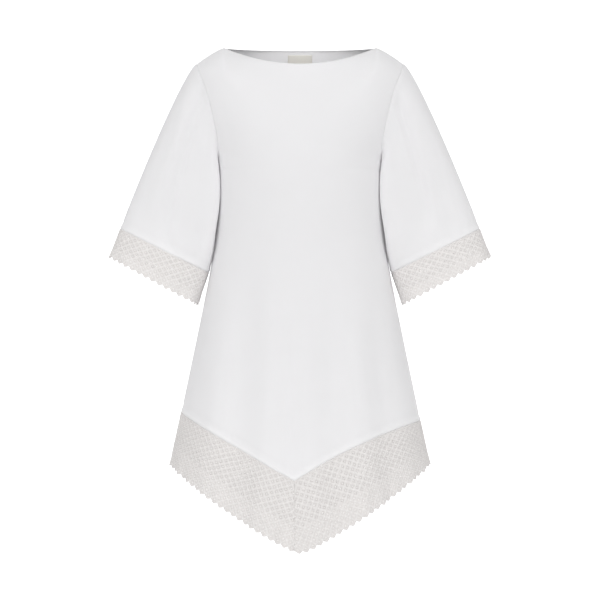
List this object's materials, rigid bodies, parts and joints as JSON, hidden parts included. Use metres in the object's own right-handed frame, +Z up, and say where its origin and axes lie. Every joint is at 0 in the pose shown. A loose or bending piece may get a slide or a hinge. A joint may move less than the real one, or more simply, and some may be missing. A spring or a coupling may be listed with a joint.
{
  "type": "dress with bell sleeves and a pointed lace hem",
  "caption": "Hollow A-line dress with a boat neck, wide elbow-length sleeves with scalloped lace cuffs, and a pointed hem with a mitred border of scalloped lace",
  "frame": {"origin": "between the shoulders, midway between the two neck corners at the top of the shoulder seams", "axes": "+Z up the wearer, +X to the picture's right, -Y the way the wearer faces"},
  "size_m": [0.724, 0.3037, 0.9457],
  "materials": {
    "cloth": "smooth matte white crepe",
    "lace": "cream cotton lace",
    "label": "cream woven tape, blank"
  },
  "bodies": {
    "root": {"front_panel": "cloth", "back_panel": "cloth", "sleeve_left": "cloth", "sleeve_right": "cloth", "cuff_lace_left": "lace", "cuff_lace_right": "lace", "hem_lace_front_left": "lace", "hem_lace_front_right": "lace", "hem_lace_back_left": "lace", "hem_lace_back_right": "lace", "neck_label": "label"}
  },
  "joints": []
}
